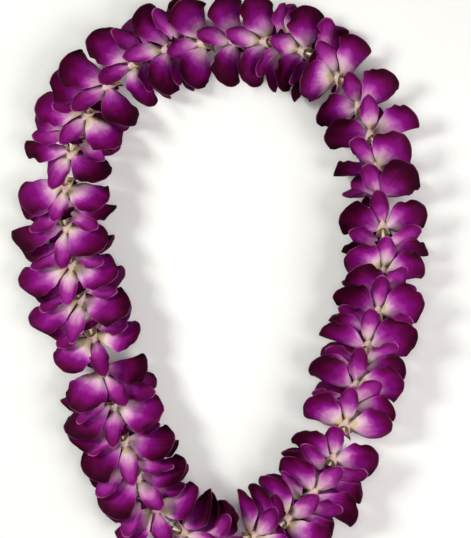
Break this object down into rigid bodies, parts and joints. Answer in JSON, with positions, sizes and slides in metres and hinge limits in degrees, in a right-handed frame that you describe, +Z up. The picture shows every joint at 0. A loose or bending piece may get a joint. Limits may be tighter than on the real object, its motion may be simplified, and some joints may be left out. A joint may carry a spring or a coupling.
{
  "type": "orchid lei",
  "caption": "Closed lei of purple dendrobium orchid blooms threaded nose to tail on a tied loop of cotton string, laid flat.",
  "frame": {"origin": "centre of the lei's outline, at the height of the table it lies on", "axes": "+Z up off the table, +Y along the long way of the loop to the top of the picture, +X to the picture's right"},
  "size_m": [0.2988, 0.4256, 0.0362],
  "materials": {
    "petal": "velvety fresh orchid petal, dark purple with a pale base",
    "cotton": "natural twisted cotton string"
  },
  "bodies": {
    "root": {"bloom_01": "petal", "bloom_02": "petal", "bloom_03": "petal", "bloom_04": "petal", "bloom_05": "petal", "bloom_06": "petal", "bloom_07": "petal", "bloom_08": "petal", "bloom_09": "petal", "bloom_10": "petal", "bloom_11": "petal", "bloom_12": "petal", "bloom_13": "petal", "bloom_14": "petal", "bloom_15": "petal", "bloom_16": "petal", "bloom_17": "petal", "bloom_18": "petal", "bloom_19": "petal", "bloom_20": "petal", "bloom_21": "petal", "bloom_22": "petal", "bloom_23": "petal", "bloom_24": "petal", "bloom_25": "petal", "bloom_26": "petal", "bloom_27": "petal", "bloom_28": "petal", "bloom_29": "petal", "bloom_30": "petal", "bloom_31": "petal", "bloom_32": "petal", "bloom_33": "petal", "bloom_34": "petal", "bloom_35": "petal", "bloom_36": "petal", "bloom_37": "petal", "bloom_38": "petal", "bloom_39": "petal", "bloom_40": "petal", "bloom_41": "petal", "bloom_42": "petal", "bloom_43": "petal", "bloom_44": "petal", "bloom_45": "petal", "bloom_46": "petal", "bloom_47": "petal", "bloom_48": "petal", "bloom_49": "petal", "bloom_50": "petal", "bloom_51": "petal", "bloom_52": "petal", "bloom_53": "petal", "bloom_54": "petal", "bloom_55": "petal", "bloom_56": "petal", "bloom_57": "petal", "bloom_58": "petal", "bloom_59": "petal", "string": "cotton"}
  },
  "joints": []
}
